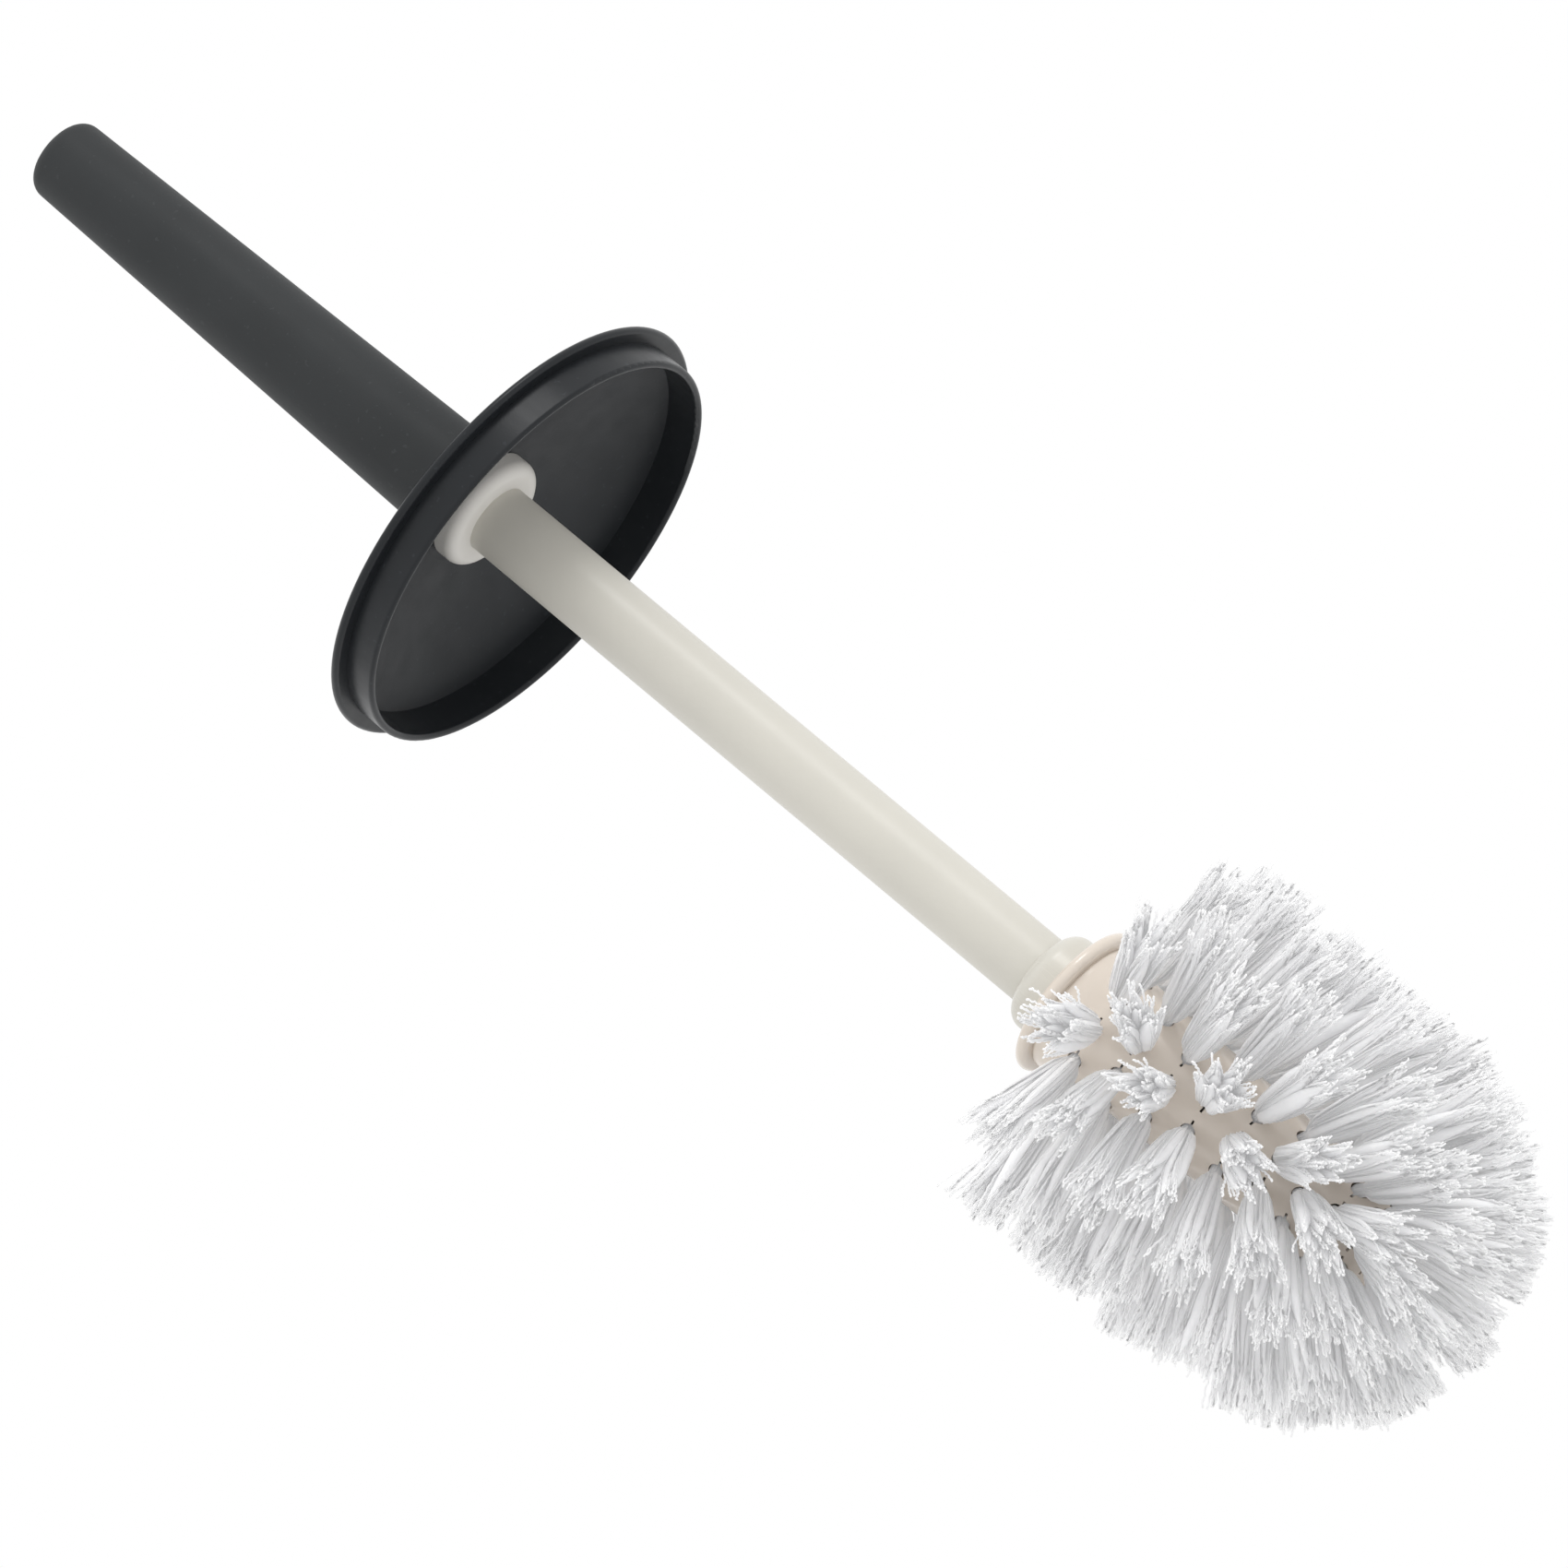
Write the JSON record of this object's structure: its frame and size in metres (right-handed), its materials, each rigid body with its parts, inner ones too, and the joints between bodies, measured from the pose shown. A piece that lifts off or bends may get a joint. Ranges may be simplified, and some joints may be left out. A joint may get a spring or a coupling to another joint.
{
  "type": "toilet brush with lid",
  "caption": "Toilet brush with a tapered handle, a domed lid whose skirt plugs into its pot, a straight rod and a pull-off tufted head with a domed end.",
  "frame": {"origin": "on the brush's axis, in the plane of the lid flange's underside, which rests on the pot's rim", "axes": "+Z along the axis towards the handle's end, -Z towards the brush head; +X and +Y square to it, the part is round"},
  "size_m": [0.0964, 0.0964, 0.3775],
  "materials": {
    "grip": "matte",
    "lid": "satin",
    "insert": "satin",
    "fitting": "satin",
    "rod": "satin",
    "core": "gloss",
    "bristle": "satin",
    "anchor": "satin"
  },
  "bodies": {
    "lid": {"lid": "lid"},
    "handle": {"handle_grip": "grip", "handle_insert": "insert"},
    "shaft": {"upper_fitting": "fitting", "rod_tube": "rod", "lower_fitting": "fitting"},
    "head": {"brush_core": "core", "tuft_ring_1": "bristle", "tuft_ring_2": "bristle", "tuft_ring_3": "bristle", "tuft_ring_4": "bristle", "tuft_ring_5": "bristle", "tuft_ring_6": "bristle", "tuft_ring_7": "bristle", "tuft_ring_8": "bristle", "end_tufts_outer": "bristle", "end_tufts_inner": "bristle", "end_tuft_centre": "bristle", "tuft_anchors": "anchor"}
  },
  "joints": [
    {"name": "handle_unscrew", "type": "hinge", "parent": "lid", "child": "handle", "pos_m": [0, 0, 0], "axis": [0, 0, 1], "range_deg": [0, 1081]},
    {"name": "shaft_drop", "type": "slide", "parent": "lid", "child": "shaft", "axis": [0, 0, -1], "range_m": [0, 0.012]},
    {"name": "head_pull_off", "type": "slide", "parent": "shaft", "child": "head", "axis": [0, 0, -1], "range_m": [0, 0.024]}
  ],
  "couplings": [
    {"joint": "handle_unscrew", "follows": "shaft_drop", "rad_per_m": 1570.8}
  ]
}
